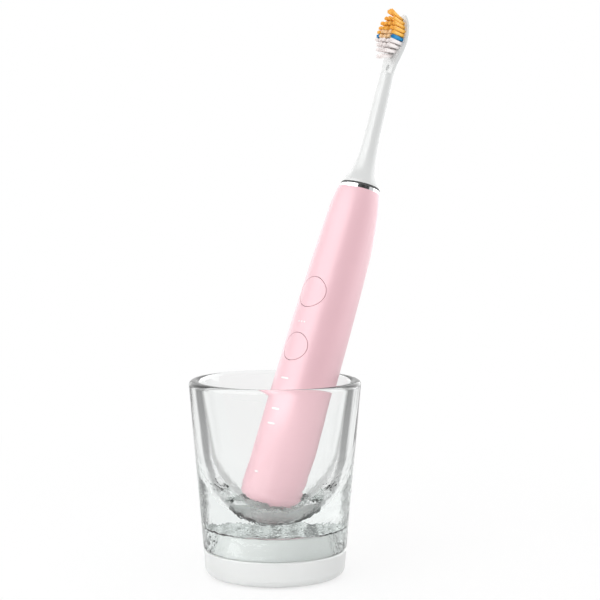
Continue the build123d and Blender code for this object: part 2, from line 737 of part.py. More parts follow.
def make_motor_frame():
    """Motor can that hangs under the deck, with a hub for the lower bearing."""
    can = disc(MOTOR_RADIUS, MOTOR_LOW, -DECK_DEPTH)
    can -= disc(MOTOR_RADIUS - MOTOR_WALL, MOTOR_LOW + MOTOR_END, REACH)
    can += disc(LOWER_BEARING_RADIUS + LOWER_HUB_WALL, MOTOR_LOW, HUB_TOP)
    return can - disc(LOWER_BEARING_RADIUS + FIT, MOTOR_LOW + MOTOR_END, REACH)


def make_magnets():
    """Magnets round the rotor core with a space between them."""
    magnets = ring(ROTOR_RADIUS, ROTOR_CORE_RADIUS, STATOR_LOW, STATOR_HIGH)
    for k in range(MAGNET_COUNT):
        slit = block((0, REACH), (-MAGNET_SPACE / 2, MAGNET_SPACE / 2), (-REACH, REACH))
        magnets -= Rotation(0, 0, 360 * k / MAGNET_COUNT) * slit
    return magnets


def drive_pieces():
    """Collar, seal, bearings and motor along the neck axis."""
    collar = ring(COLLAR_RADIUS, SPIGOT_RADIUS + FIT, -COLLAR_HEIGHT, 0)
    collar = fillet(circle_edges(collar, COLLAR_RADIUS, 0), COLLAR_EDGE)
    bore = SHAFT_RADIUS + RUNNING
    bearing_low = -DECK_DEPTH
    bearing_high = bearing_low + BEARING_HEIGHT
    coil_high = STATOR_HIGH + STATOR_COIL_LENGTH
    return {
        "collar_ring": collar,
        "neck_seal": ring(SEAL_RADIUS, bore, bearing_high, SEAL_TOP),
        "upper_bearing": ring(BEARING_RADIUS, bore, bearing_low, bearing_high),
        "lower_bearing": ring(LOWER_BEARING_RADIUS, bore, MOTOR_LOW + MOTOR_END, HUB_TOP),
        "motor_frame": make_motor_frame(),
        "stator_core": ring(STATOR_RADIUS, STATOR_BORE, STATOR_LOW, STATOR_HIGH),
        "stator_coil": ring(STATOR_RADIUS, STATOR_BORE, STATOR_HIGH, coil_high),
        "drive_shaft": shaft_section(0.0),
        "rotor_core": ring(ROTOR_CORE_RADIUS, SHAFT_RADIUS, STATOR_LOW, STATOR_HIGH),
        "rotor_magnets": make_magnets(),
    }


# Heights along the neck axis and on the face of the head
SOCKET_TOP = SHAFT_PROUD + RUNNING + SOCKET_END
FACE = Pos(0, -FACE_FORWARD, LIP_HEIGHT) * Rotation(-HEAD_LEAN, 0, 0)
TUFT_HALF = TUFT_SIDE * STRAND_PITCH / 2
TUFT_ROWS = int(2 * (FIELD_HALF_LENGTH - TUFT_HALF - TUFT_EDGE) / TUFT_PITCH_ALONG) + 1
FIRST_ROW = FIELD_CENTRE - (TUFT_ROWS - 1) / 2 * TUFT_PITCH_ALONG
WHITE_TOP = FIRST_ROW + (WHITE_ROWS - 0.5) * TUFT_PITCH_ALONG
BLUE_TOP = WHITE_TOP + BLUE_ROWS * TUFT_PITCH_ALONG
PALE_TOP = WHITE_TOP + PALE_ROWS * TUFT_PITCH_ALONG
PALE_HALF_WIDTH = PALE_COLUMNS / 2 * TUFT_PITCH_ACROSS


def head_form():
    """Turned skirt and neck, and the head lofted on from the neck's end, leaning back over its lip."""
    height, radius = NECK_PROFILE[0]
    neck_end, neck_radius = NECK_PROFILE[-1]
    side = Spline(*[(r, z) for z, r in NECK_PROFILE])
    inner = Polyline((neck_radius, neck_end), (0, neck_end), (0, height), (radius, height))
    faces = [Pos(0, 0, neck_end) * Circle(neck_radius)]
    for height, half_width, half_depth in HEAD_SECTIONS:
        back = max(0.0, height - LIP_HEIGHT) * math.tan(math.radians(HEAD_LEAN))
        face = Circle(half_width) if half_width == half_depth else Ellipse(half_width, half_depth)
        faces.append(Pos(0, back, height) * face)
    return turned([side, inner]) + loft(faces)


def face_cut():
    """Everything in front of the face and over the sloped lip, in the face's own frame."""
    drop = REACH * math.tan(math.radians(LIP_SLOPE))
    side = make_face(Polyline((0, 0), (-REACH, -drop), (-REACH, REACH), (0, REACH), close=True))
    return extrude(Plane.YZ * side, REACH, both=True)


def sunk_oval(height, half_width, half_length, depth):
    """Oval that goes into the head from its face, in the face's own frame."""
    return Pos(0, 0, height) * Rotation(-90, 0, 0) * extrude(Ellipse(half_width, half_length), depth)


def field_form(inset):
    """Slice that carries the bristles, drawn in by an inset."""
    return sunk_oval(FIELD_CENTRE, FIELD_HALF_WIDTH - inset, FIELD_HALF_LENGTH - inset, SLICE - inset)


def make_head_body():
    """White skirt, neck and head plate with the socket bore, the bristle pocket and a sunk oval mark."""
    head = head_form() - FACE * face_cut()
    head -= Pos(0, 0, SKIRT_GAP + SKIRT_BORE_DEPTH / 2) * Cone(SKIRT_BORE, SOCKET_RADIUS, SKIRT_BORE_DEPTH)
    head -= disc(SOCKET_RADIUS + FIT, 0, SOCKET_TOP + FIT)
    head -= disc(SOCKET_RADIUS + CLIP_WALL + 2 * FIT, CLIP_LOW - FIT, CLIP_HIGH + FIT)
    head -= FACE * field_form(0.0)
    return head - FACE * sunk_oval(MARK_HEIGHT, MARK_SIZE[0], MARK_SIZE[1], MARK_DEPTH)


def make_clip():
    """Open spring ring round the socket."""
    band = ring(SOCKET_RADIUS + CLIP_WALL + FIT, SOCKET_RADIUS + FIT, CLIP_LOW, CLIP_HIGH)
    return band - block((-CLIP_OPENING / 2, CLIP_OPENING / 2), (0, REACH), (0, REACH))


def tuft(across, height):
    """Square bundle of four-sided strands that leans with its place on the face."""
    share = (height - FIELD_CENTRE) / FIELD_HALF_LENGTH
    lean = math.radians(TUFT_TILT + TUFT_FAN * share ** 3)
    side = math.radians(SPREAD * across)
    way = Vector(math.sin(side), -math.cos(side) * math.cos(lean), math.sin(lean))
    length = TUFT_LENGTH + TUFT_CROWN * (share + 1) / 2 - TUFT_SIDE_DROP * abs(across)
    strands = []
    for row in range(TUFT_SIDE):
        for column in range(TUFT_SIDE):
            x = across + (column - (TUFT_SIDE - 1) / 2) * STRAND_PITCH
            z = height + (row - (TUFT_SIDE - 1) / 2) * STRAND_PITCH
            root = Pos(x, SLICE / 2, z) * Rotation(90, 0, 0) * Rectangle(STRAND_WIDTH, STRAND_WIDTH)
            strands.append(extrude(root, length, dir=way))
    return strands


def tuft_places():
    """Rows of tufts up the head, each as wide as the oval field allows."""
    for row in range(TUFT_ROWS):
        height = FIRST_ROW + row * TUFT_PITCH_ALONG
        share = (abs(height - FIELD_CENTRE) + TUFT_HALF) / FIELD_HALF_LENGTH
        reach = FIELD_HALF_WIDTH * math.sqrt(1 - share ** 2) - TUFT_HALF - TUFT_EDGE
        columns = int(2 * reach / TUFT_PITCH_ACROSS) + 1
        for column in range(columns):
            yield (column - (columns - 1) / 2) * TUFT_PITCH_ACROSS, height


def bristle_zone(across, height):
    """Name of the bristle colour at a place on the face."""
    if height < WHITE_TOP:
        return "bristles_white"
    if abs(across) < PALE_HALF_WIDTH:
        return "bristles_pale" if height < PALE_TOP else "bristles_orange"
    return "bristles_blue" if height < BLUE_TOP else "bristles_orange"


def zone_slices():
    """Backing slice of each bristle colour, with a fit between neighbours."""
    field = field_form(FIT)
    everywhere = (-REACH, REACH)
    half = PALE_HALF_WIDTH
    upper = field & above(WHITE_TOP + FIT)
    middle = block((-half - FIT, half + FIT), everywhere, (-REACH, PALE_TOP + FIT))
    return {
        "bristles_white": field & below(WHITE_TOP - FIT),
        "bristles_pale": upper & block((-half + FIT, half - FIT), everywhere, (-REACH, PALE_TOP - FIT)),
        "bristles_blue": (upper & below(BLUE_TOP - FIT)) - middle,
        "bristles_orange": (upper & above(BLUE_TOP + FIT)) - middle,
    }


def bristle_pieces():
    """Strands of each colour in one fuse with their slice."""
    strands = {}
    for across, height in tuft_places():
        strands.setdefault(bristle_zone(across, height), []).extend(tuft(across, height))
    print("strands", {zone: len(group) for zone, group in strands.items()})
    return {zone: FACE * (piece + strands[zone]) for zone, piece in zone_slices().items()}


def head_pieces():
    """Every piece of the push-on brush head, in the collar's frame."""
    socket = disc(SOCKET_RADIUS, SOCKET_LIFT, SOCKET_TOP) - shaft_section(RUNNING)
    pieces = {
        "brush_head_body": make_head_body(),
        "head_socket": socket,
        "head_spring_clip": make_clip(),
    }
    pieces.update(bristle_pieces())
    return pieces


BRUSH = seat_brush()
NECK = BRUSH * COLLAR

PIECES = charger_pieces()
PIECES["tumbler"] = make_tumbler()
PIECES.update({name: BRUSH * piece for name, piece in handle_pieces().items()})
PIECES.update({name: NECK * piece for name, piece in drive_pieces().items()})
PIECES.update({name: NECK * piece for name, piece in head_pieces().items()})

for name, piece in PIECES.items():
    export_step(piece, f"parts/{name}.step")

# Places and directions that the joints and mounts use
for label, place in (("brush", BRUSH), ("neck", NECK)):
    plane = Plane(place)
    print(label, "origin", tuple(plane.origin), "front", tuple(-plane.y_dir), "axis", tuple(plane.z_dir))
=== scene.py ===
import json
import math
import random

import bpy
from mathutils import Matrix, Vector


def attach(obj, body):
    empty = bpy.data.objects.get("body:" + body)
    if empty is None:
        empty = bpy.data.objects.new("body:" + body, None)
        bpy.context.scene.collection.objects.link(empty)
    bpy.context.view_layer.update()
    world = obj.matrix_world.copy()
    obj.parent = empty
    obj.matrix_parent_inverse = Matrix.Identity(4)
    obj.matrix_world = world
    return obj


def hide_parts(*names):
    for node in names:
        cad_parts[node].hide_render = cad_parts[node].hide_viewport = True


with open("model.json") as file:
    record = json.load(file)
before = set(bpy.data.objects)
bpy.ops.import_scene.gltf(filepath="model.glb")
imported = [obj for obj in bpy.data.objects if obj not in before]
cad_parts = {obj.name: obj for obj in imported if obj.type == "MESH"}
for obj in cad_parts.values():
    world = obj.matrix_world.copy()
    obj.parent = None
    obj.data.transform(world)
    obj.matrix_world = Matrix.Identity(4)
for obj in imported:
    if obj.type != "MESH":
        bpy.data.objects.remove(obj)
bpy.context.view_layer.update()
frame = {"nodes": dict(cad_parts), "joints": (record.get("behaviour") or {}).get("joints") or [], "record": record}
NODES = frame["nodes"]
RECORD = frame["record"]
JOINTS = {joint["name"]: joint for joint in frame["joints"]}
MM = 0.001

# Camera at the photograph's height and distance in metres, tipped down by degrees, its lens in millimetres
CAMERA_PLACE = (0.01178, -0.797, 0.19165)
CAMERA_DOWN = 4.40
CAMERA_LENS = 102.3
CAMERA_SENSOR = 36.0

# Moulded and metal surfaces: drift of tone and gloss, and fine grain
DRIFT_SCALE = 60.0
DRIFT_DETAIL = 3.0
DRIFT_ENDS = (0.3, 0.7)
LEAST_ROUGHNESS = 0.02
GRAIN_SCALE = 2500.0
GRAIN_DETAIL = 2.0
GRAIN_BUMP = 0.5
GRAIN_RELIEF = 0.000004

# Bristles
BRISTLE_ROUGHNESS = 0.45
BRISTLE_SPECULAR = 0.25

# Glass: a slow wave all over, and a ripple that fades out between two heights in metres
GLASS_IOR = 1.3
WAVE_SCALE = 55.0
WAVE_DETAIL = 1.0
RIPPLE_SCALE = 230.0
RIPPLE_DETAIL = 2.0
RIPPLE_HEIGHTS = (0.030, 0.062)
RIPPLE_SHARE = 4.0
GLASS_BUMP = 0.25
GLASS_RELIEF = 0.0004

# Brush head, in millimetres and degrees: its face leans back over the lip, where heights on the face start
LIP_HEIGHT = 57.5
HEAD_LEAN = 4.2
FACE_FORWARD = 1.2
FIELD_CENTRE = 19.0
FIELD_HALF_LENGTH = 10.4
FIELD_HALF_WIDTH = 5.4
FIELD_DEPTH = 0.7
PLATE_GAP = 0.06
PLATE_EDGE = 0.15
PLATE_ROUND = 0.3
PLATE_STEPS = 56
MARK_HEIGHT = 3.1
MARK_HALF_WIDTH = 0.9
MARK_HALF_LENGTH = 1.5
MARK_DEPTH = 0.4
MARK_TOP = 0.05

# Tufts, in millimetres and degrees: rows and columns on the face, lean and length, and how they vary
TUFT_PITCH_ACROSS = 2.0
TUFT_PITCH_ALONG = 2.1
TUFT_RADIUS = 0.86
TUFT_ROOM = 0.94
TUFT_LENGTH = 9.6
TUFT_CROWN = 0.9
TUFT_SIDE_DROP = 0.15
TUFT_TILT = -10.7
TUFT_LIFT = 17.0
TUFT_SPREAD = 1.0
TUFT_SWAY = 2.0
TUFT_UNEVEN = (-0.35, 0.1)
TUFT_TONES = (-0.25, 0.15)
WHITE_ROWS = 4
BLUE_ROWS = 1
PALE_ROWS = 2
PALE_COLUMNS = 3
SEED = 4

# Strands round the core of each tuft, in millimetres
STRANDS = 34
STRAND_RADIUS = 0.15
STRAND_SIDES = 6
STRAND_DOME = 0.3
STRAND_WANDER = 0.04
STRAND_UNEVEN = (-0.12, 0.08)
CORE_SHARE = 0.97
CORE_SHORT = 0.45
CORE_SIDES = 16
GOLDEN = math.pi * (3 - math.sqrt(5))

# Share of the width across, flare across, flare along and count of strands of a tuft
PLAIN_TUFT = (1.0, 0.14, 0.10, STRANDS)
FAN_TUFT = (1.3, 0.9, 0.7, STRANDS * 2)

# Shares of a stalk's length, with its share of the full width there
STATIONS = ((0.0, 1.0), (0.4, 1.0), (0.8, 1.0), (0.975, 0.8), (1.0, 0.35))

# Black band over the collar's rounded shoulder, painted shade of the gap under the brush head, in millimetres
COLLAR_RADIUS = 9.6
COLLAR_EDGE = 0.35
BAND_GAP = 0.01
BAND_THICK = 0.07
BAND_REACH = 0.6
BAND_DROP = 0.65
BAND_BENDS = 4
BAND_STEPS = 96

# Floor, in metres: its shadow, and the painted shade it shows through the glass by distance and by angle
FLOOR_HALF = 8.0
PAPER = (0.95, 0.95, 0.95)
SHADOW_SHARE = 0.28
SHADOW_REACH = (0.10, 0.45)
DIM_REACH = (0.05, 0.15)
DIM_SHARES = (0.60, 0.85)
DIM_SLANTS = (0.40, 0.49)
DIM_LEAST = 0.10

# Lamps, in metres, degrees and watts: angle from the camera's side, height angle, distance, size and power
MIDDLE = (0.0, 0.0, 0.13)
KEY = (-40.0, 30.0, 1.3, (0.9, 0.9), 2.0)
LOW_TARGET = (0.0, 0.0, 0.008)
LOW_FILL = (-22.0, 3.0, 0.6, (0.30, 0.05), 0.022)
LOW_SPREAD = 20.0
SOFTBOXES = {
    "sheen_front": (-53.0, 28.0, 1.2, (1.7, 1.7), 26.0),
    "sheen_back": (-128.0, 15.0, 1.2, (1.7, 1.7), 9.0),
    "rim": (125.0, 12.0, 1.2, (2.0, 1.4), 18.0),
}
SIDE_ANGLE = 90.0

# Felt cards, in metres and degrees, and the brightness of their dark and light folds, painted into their glow
FELT = (0.96, 1.0, 0.985)
DARK_FELT = (0.06, 0.16)
GREY_FELT = (0.22, 0.95)
FOLD_SCALE = 5.0
FOLD_DETAIL = 1.0
FOLD_ENDS = (0.4, 0.6)
# Glow of the felt for light after a bounce, which lights what stands in the glass
INSIDE_LIGHT = 1.5
FRONT_ANGLE = 23.0
FRONT_DISTANCE = 1.0
FRONT_SIZE = (1.4, 0.9)
LOW_STEP = 45
LOW_DISTANCE = 2.0
LOW_SIZE = (1.7, 0.75)
CANOPY_HEIGHT = 0.42
CANOPY_HALF = 0.9


# Objects

def link(obj):
    """Put a new object into the scene."""
    bpy.context.scene.collection.objects.link(obj)
    return obj


def mesh_piece(name, vertices, faces, smooth=True):
    """Object from vertices and faces in metres."""
    mesh = bpy.data.meshes.new(name)
    mesh.from_pydata(vertices, [], faces)
    mesh.update()
    for polygon in mesh.polygons:
        polygon.use_smooth = smooth
    return link(bpy.data.objects.new(name, mesh))


def skin(start, rings, sides):
    """Faces between rings of vertices that follow each other from a start, with both ends closed."""
    last = start + (rings - 1) * sides
    for ring in range(start, last, sides):
        for k in range(sides):
            a = ring + k
            b = ring + (k + 1) % sides
            yield a, b, b + sides, a + sides
    yield tuple(range(last, last + sides))
    yield tuple(reversed(range(start, start + sides)))


# Shader nodes

def feed(tree, socket, term):
    """Give a socket its value, or a link from another socket."""
    if isinstance(term, bpy.types.NodeSocket):
        tree.links.new(term, socket)
    else:
        socket.default_value = term


def fill(tree, node, **terms):
    """Feed the sockets of a node by name."""
    for key, term in terms.items():
        feed(tree, node.inputs[key.replace("_", " ")], term)
    return node


def add(tree, kind, **terms):
    """New shader node with its sockets fed by name."""
    return fill(tree, tree.nodes.new(kind), **terms)


def object_place(tree):
    """Place on the surface, in metres in the object's own frame."""
    return tree.nodes.new("ShaderNodeTexCoord").outputs["Object"]


def noise(tree, scale, detail):
    """Noise that is fixed to the object."""
    place = object_place(tree)
    return add(tree, "ShaderNodeTexNoise", Vector=place, Scale=scale, Detail=detail).outputs["Fac"]


def maths(tree, operation, *terms):
    """Sum, product or the like of numbers and sockets."""
    node = tree.nodes.new("ShaderNodeMath")
    node.operation = operation
    for socket, term in zip(node.inputs, terms):
        feed(tree, socket, term)
    return node.outputs["Value"]


def vector_maths(tree, operation, vector):
    """Outputs of a vector node with one input."""
    node = add(tree, "ShaderNodeVectorMath", Vector=vector)
    node.operation = operation
    return node.outputs


def split(tree, vector):
    """Outputs for the three parts of a vector."""
    return add(tree, "ShaderNodeSeparateXYZ", Vector=vector).outputs


def remap(tree, value, before, after, smooth=False):
    """Value taken from one range to another, and held at its ends."""
    node = add(tree, "ShaderNodeMapRange", Value=value, From_Min=before[0], From_Max=before[1])
    fill(tree, node, To_Min=after[0], To_Max=after[1])
    node.interpolation_type = "SMOOTHSTEP" if smooth else "LINEAR"
    return node.outputs["Result"]


def ramp(tree, value, *stops):
    """Colour between two stops, each a position and a colour."""
    node = add(tree, "ShaderNodeValToRGB", Fac=value)
    for stop, (position, colour) in zip(node.color_ramp.elements, stops):
        stop.position = position
        stop.color = (*colour, 1.0)
    return node.outputs["Color"]


def bump(tree, height, strength, distance):
    """Normal that follows a height."""
    return add(tree, "ShaderNodeBump", Strength=strength, Distance=distance, Height=height).outputs["Normal"]


def light_path(tree):
    """Outputs that tell what kind of ray meets the surface."""
    return tree.nodes.new("ShaderNodeLightPath").outputs


def show(tree, **shaders):
    """Send the last shaders to the material's output."""
    fill(tree, tree.nodes["Material Output"], **shaders)


def new_material(name):
    """Material with its tree of nodes and its main shader."""
    material = bpy.data.materials.new(name)
    material.use_nodes = True
    return material, material.node_tree, material.node_tree.nodes["Principled BSDF"]


# Materials

def surface(name, colour, roughness, tone=0.02, gloss=0.04, cloud=DRIFT_SCALE, **terms):
    """Moulded or metal surface: a slight drift of tone and gloss, and a fine grain in relief."""
    material, tree, shader = new_material(name)
    drift = noise(tree, cloud, DRIFT_DETAIL)
    grain = noise(tree, GRAIN_SCALE, GRAIN_DETAIL)
    tones = [[min(1.0, channel * share) for channel in colour] for share in (1 - tone, 1 + tone)]
    ends = (max(LEAST_ROUGHNESS, roughness - gloss), roughness + gloss)
    fill(
        tree,
        shader,
        Base_Color=ramp(tree, drift, *zip(DRIFT_ENDS, tones)),
        Roughness=remap(tree, drift, (0.0, 1.0), ends),
        Normal=bump(tree, grain, GRAIN_BUMP, GRAIN_RELIEF),
        **terms,
    )
    return material


def bristle(name, root, tip):
    """Nylon drawn darker at the root of a strand than at its tip: painted shade where the strands pack together.
    """
    material, tree, shader = new_material(name)
    shade = tree.nodes.new("ShaderNodeAttribute")
    shade.attribute_name = "shade"
    # Root colour darker than tip colour: painted shade at the packed roots.
    colour = ramp(tree, shade.outputs["Fac"], (0.0, root), (1.0, tip))
    fill(tree, shader, Base_Color=colour, Roughness=BRISTLE_ROUGHNESS, Specular_IOR_Level=BRISTLE_SPECULAR)
    return material


def glass(name, tint, absorb, density):
    """Thick clear glass with a faint colour in its depth, slightly uneven, and rippled low down."""
    material, tree, shader = new_material(name)
    wave = noise(tree, WAVE_SCALE, WAVE_DETAIL)
    ripple = noise(tree, RIPPLE_SCALE, RIPPLE_DETAIL)
    low = remap(tree, split(tree, object_place(tree))["Z"], RIPPLE_HEIGHTS, (RIPPLE_SHARE, 0.0))
    height = maths(tree, "MULTIPLY_ADD", ripple, low, wave)
    fill(tree, shader, Base_Color=(*tint, 1.0), Roughness=0.0, IOR=GLASS_IOR, Transmission_Weight=1.0)
    fill(tree, shader, Normal=bump(tree, height, GLASS_BUMP, GLASS_RELIEF))
    depth = add(tree, "ShaderNodeVolumeAbsorption", Color=(*absorb, 1.0), Density=density)
    show(tree, Volume=depth.outputs["Volume"])
    return material


PINK = (0.77, 0.48, 0.53)
WHITE = (0.65, 0.66, 0.655)
MARK_GREY = (0.42, 0.43, 0.43)

SURFACES = {
    "white_plastic": surface("white_plastic", WHITE, 0.30, tone=0.01, Coat_Weight=0.2),
    "base_plastic": surface("base_plastic", (0.95, 0.95, 0.95), 0.40, tone=0.008),
    "steel": surface("steel", (0.55, 0.55, 0.55), 0.28, Metallic=1.0),
    "grey_rubber": surface("grey_rubber", (0.06, 0.06, 0.062), 0.75, tone=0.08),
    "white_rubber": surface("white_rubber", (0.62, 0.62, 0.61), 0.65),
    "copper": surface("copper", (0.60, 0.27, 0.12), 0.30, tone=0.10, cloud=900.0, Metallic=1.0),
    "ferrite": surface("ferrite", (0.025, 0.025, 0.027), 0.60, tone=0.15),
    "circuit_board": surface("circuit_board", (0.015, 0.10, 0.045), 0.40, tone=0.15),
    "chip": surface("chip", (0.012, 0.012, 0.013), 0.50, tone=0.15),
    "capacitor": surface("capacitor", (0.33, 0.21, 0.11), 0.45, tone=0.08),
    "clear_glass": glass("clear_glass", (0.99, 0.995, 0.993), (0.76, 0.86, 0.83), 5.0),
    "pink_plastic": surface("pink_plastic", PINK, 0.36, tone=0.012, Coat_Weight=0.3, Coat_Roughness=0.32),
    "inner_plastic": surface("inner_plastic", (0.45, 0.46, 0.47), 0.50),
    "cell_sleeve": surface("cell_sleeve", (0.09, 0.17, 0.32), 0.35, tone=0.05),
    "light_window": surface("light_window", (0.90, 0.82, 0.83), 0.20, Coat_Weight=0.3),
    "chrome_ring": surface("chrome_ring", (0.62, 0.62, 0.63), 0.06, gloss=0.02, Metallic=1.0),
    "motor_can": surface("motor_can", (0.40, 0.40, 0.41), 0.35, Metallic=1.0),
    "iron": surface("iron", (0.10, 0.10, 0.105), 0.45, tone=0.1, Metallic=0.8),
    "magnet": surface("magnet", (0.30, 0.30, 0.31), 0.22, Metallic=1.0),
    # Root colours darker than tip colours: painted shade at the roots of the tufts.
    "bristle_white": bristle("bristle_white", (0.97, 0.91, 0.90), (0.98, 0.93, 0.92)),
    "bristle_pale": bristle("bristle_pale", (1.0, 0.68, 0.36), (1.0, 0.76, 0.48)),
    "bristle_blue": bristle("bristle_blue", (0.010, 0.25, 0.54), (0.014, 0.31, 0.66)),
    "bristle_orange": bristle("bristle_orange", (1.0, 0.54, 0.09), (1.0, 0.60, 0.13)),
}

for part in RECORD["subparts"]:
    slots = NODES[part["node"]].data.materials
    slots.clear()
    slots.append(SURFACES[part["material_slot"]])


# Frames of the neck and of the brush head's face

def neck_frame():
    """Frame with its origin at the collar, x across, y out of the back and z along the neck."""
    drive = JOINTS["drive_oscillation"]
    along = Vector(drive["axis"]).normalized()
    back = Vector(JOINTS["power_press"]["axis"])
    back = (back - along * back.dot(along)).normalized()
    turn = Matrix((back.cross(along), back, along)).transposed()
    return Matrix.Translation(Vector(drive["pos_m"])) @ turn.to_4x4()


NECK = neck_frame()
FACE = (
    NECK
    @ Matrix.Translation((0.0, -FACE_FORWARD * MM, LIP_HEIGHT * MM))
    @ Matrix.Rotation(math.radians(-HEAD_LEAN), 4, "X")
)


def on_face(x, y, z):
    """Point in metres from millimetres in the frame of the head's face."""
    return FACE @ Vector((x * MM, y * MM, z * MM))


# Bristles

def tuft_places():
    """Rows of tufts up the head, each as wide as the oval field allows."""
    rows = int(2 * (FIELD_HALF_LENGTH - TUFT_ROOM) / TUFT_PITCH_ALONG) + 1
    for row in range(rows):
        height = FIELD_CENTRE + (row - (rows - 1) / 2) * TUFT_PITCH_ALONG
        share = (abs(height - FIELD_CENTRE) + TUFT_RADIUS) / FIELD_HALF_LENGTH
        reach = FIELD_HALF_WIDTH * math.sqrt(1 - share ** 2) - TUFT_ROOM
        columns = int(2 * reach / TUFT_PITCH_ACROSS) + 1
        for column in range(columns):
            yield row, (column - (columns - 1) / 2) * TUFT_PITCH_ACROSS, height, columns == 1


def tuft_colour(row, across):
    """Name of the bristle colour at a place on the face."""
    if row < WHITE_ROWS:
        return "white"
    if abs(across) < PALE_COLUMNS / 2 * TUFT_PITCH_ACROSS:
        return "pale" if row < WHITE_ROWS + PALE_ROWS else "orange"
    return "blue" if row < WHITE_ROWS + BLUE_ROWS else "orange"


class Bundle:
    """Vertices, faces and root-to-tip shades of the tufts of one colour: painted shade that darkens the roots,
    with a random tone for each tuft.
    """

    def __init__(self):
        self.vertices = []
        self.faces = []
        self.shades = []

    def stalk(self, root, way, bow, length, tone, across, along, flare, sides):
        """Stalk with a rounded tip, bowed and flared a little on its way out."""
        side = way.cross(Vector((0, 0, 1))).normalized()
        other = way.cross(side)
        start = len(self.vertices)
        for share, width in STATIONS:
            centre = root + way * (length * share) + bow * (share * share)
            wide = across * width * (1 + flare[0] * share * share)
            high = along * width * (1 + flare[1] * share * share)
            for k in range(sides):
                angle = 2 * math.pi * k / sides
                point = centre + side * (wide * math.cos(angle)) + other * (high * math.sin(angle))
                self.vertices.append(on_face(*point))
                # Shade rises from root to tip: painted shade at the roots, shifted by the tuft's random tone.
                self.shades.append(min(1.0, max(0.0, share + tone)))
        self.faces.extend(skin(start, len(STATIONS), sides))

    def tuft(self, across, height, alone, chance):
        """Core and strands that lean with their place on the face: a wide fan if alone in the row."""
        share = (height - FIELD_CENTRE) / FIELD_HALF_LENGTH
        lean = math.radians(TUFT_TILT + TUFT_LIFT * share ** 3 + chance.uniform(-TUFT_SWAY, TUFT_SWAY))
        side = math.radians(TUFT_SPREAD * across + chance.uniform(-TUFT_SWAY, TUFT_SWAY))
        way = Vector((math.sin(side), -math.cos(side) * math.cos(lean), math.sin(lean))).normalized()
        length = TUFT_LENGTH + TUFT_CROWN * (share + 1) / 2 - TUFT_SIDE_DROP * abs(across)
        length += chance.uniform(*TUFT_UNEVEN)
        tone = chance.uniform(*TUFT_TONES)
        width, fan, rise, strands = FAN_TUFT if alone else PLAIN_TUFT
        core = TUFT_RADIUS * CORE_SHARE
        flare = (fan, rise)
        middle = Vector((across, FIELD_DEPTH / 2, height))
        self.stalk(middle, way, Vector(), length - CORE_SHORT, tone, core * width, core, flare, CORE_SIDES)
        for k in range(strands):
            radius = TUFT_RADIUS * math.sqrt((k + 0.5) / strands)
            dx = radius * math.cos(k * GOLDEN) * width
            dz = radius * math.sin(k * GOLDEN)
            root = Vector((across + dx, FIELD_DEPTH / 2, height + dz))
            bow_across = dx * fan + chance.gauss(0, STRAND_WANDER)
            bow = Vector((bow_across, 0, dz * rise + chance.gauss(0, STRAND_WANDER)))
            reach = length - STRAND_DOME * (radius / TUFT_RADIUS) ** 2 + chance.uniform(*STRAND_UNEVEN)
            self.stalk(root, way, bow, reach, tone, STRAND_RADIUS, STRAND_RADIUS, (0.0, 0.0), STRAND_SIDES)


def make_bristles():
    """Tufts of each colour in the place of the plain strands."""
    chance = random.Random(SEED)
    bundles = {}
    for row, across, height, alone in tuft_places():
        bundles.setdefault(tuft_colour(row, across), Bundle()).tuft(across, height, alone, chance)
    for colour, bundle in bundles.items():
        piece = mesh_piece("tufts_" + colour, bundle.vertices, bundle.faces)
        # The shade attribute carries painted shade at the roots and a random tone for each tuft.
        shade = piece.data.attributes.new("shade", "FLOAT", "POINT")
        shade.data.foreach_set("value", bundle.shades)
        piece.data.materials.append(SURFACES["bristle_" + colour])
        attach(piece, "brush_head")
        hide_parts("bristles_" + colour)


# Plates in the face, and the band of painted shade on the collar

def oval_plate(name, height, half_width, half_length, depth, top):
    """Oval plate with a rounded edge, from the floor of its pocket in the face to a depth at its top."""
    rings = (
        (PLATE_GAP, depth - PLATE_GAP),
        (PLATE_GAP, top + PLATE_EDGE),
        (PLATE_GAP + PLATE_EDGE * PLATE_ROUND, top + PLATE_EDGE * PLATE_ROUND),
        (PLATE_GAP + PLATE_EDGE, top),
    )
    vertices = []
    for inset, sunk in rings:
        for k in range(PLATE_STEPS):
            angle = 2 * math.pi * k / PLATE_STEPS
            x = (half_width - inset) * math.cos(angle)
            z = height + (half_length - inset) * math.sin(angle)
            vertices.append(on_face(x, sunk, z))
    plate = mesh_piece(name, vertices, list(skin(0, len(rings), PLATE_STEPS)), smooth=False)
    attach(plate, "brush_head")
    return plate


def make_plates():
    """White plate round the roots of the tufts, and the grey inlay of the mark under them."""
    field = oval_plate("tuft_plate", FIELD_CENTRE, FIELD_HALF_WIDTH, FIELD_HALF_LENGTH, FIELD_DEPTH, 0.0)
    field.data.materials.append(SURFACES["white_plastic"])
    mark = oval_plate("mark_inlay", MARK_HEIGHT, MARK_HALF_WIDTH, MARK_HALF_LENGTH, MARK_DEPTH, MARK_TOP)
    mark.data.materials.append(surface("mark_grey", MARK_GREY, 0.4))


def shoulder(offset):
    """Radii and heights along a line that far off the collar's top face, rounded shoulder and side."""
    middle = COLLAR_RADIUS - COLLAR_EDGE
    bend = COLLAR_EDGE + offset
    yield middle - BAND_REACH, offset
    for k in range(BAND_BENDS + 1):
        angle = math.pi / 2 * (1 - k / BAND_BENDS)
        yield middle + bend * math.cos(angle), bend * math.sin(angle) - COLLAR_EDGE
    yield COLLAR_RADIUS + offset, -BAND_DROP


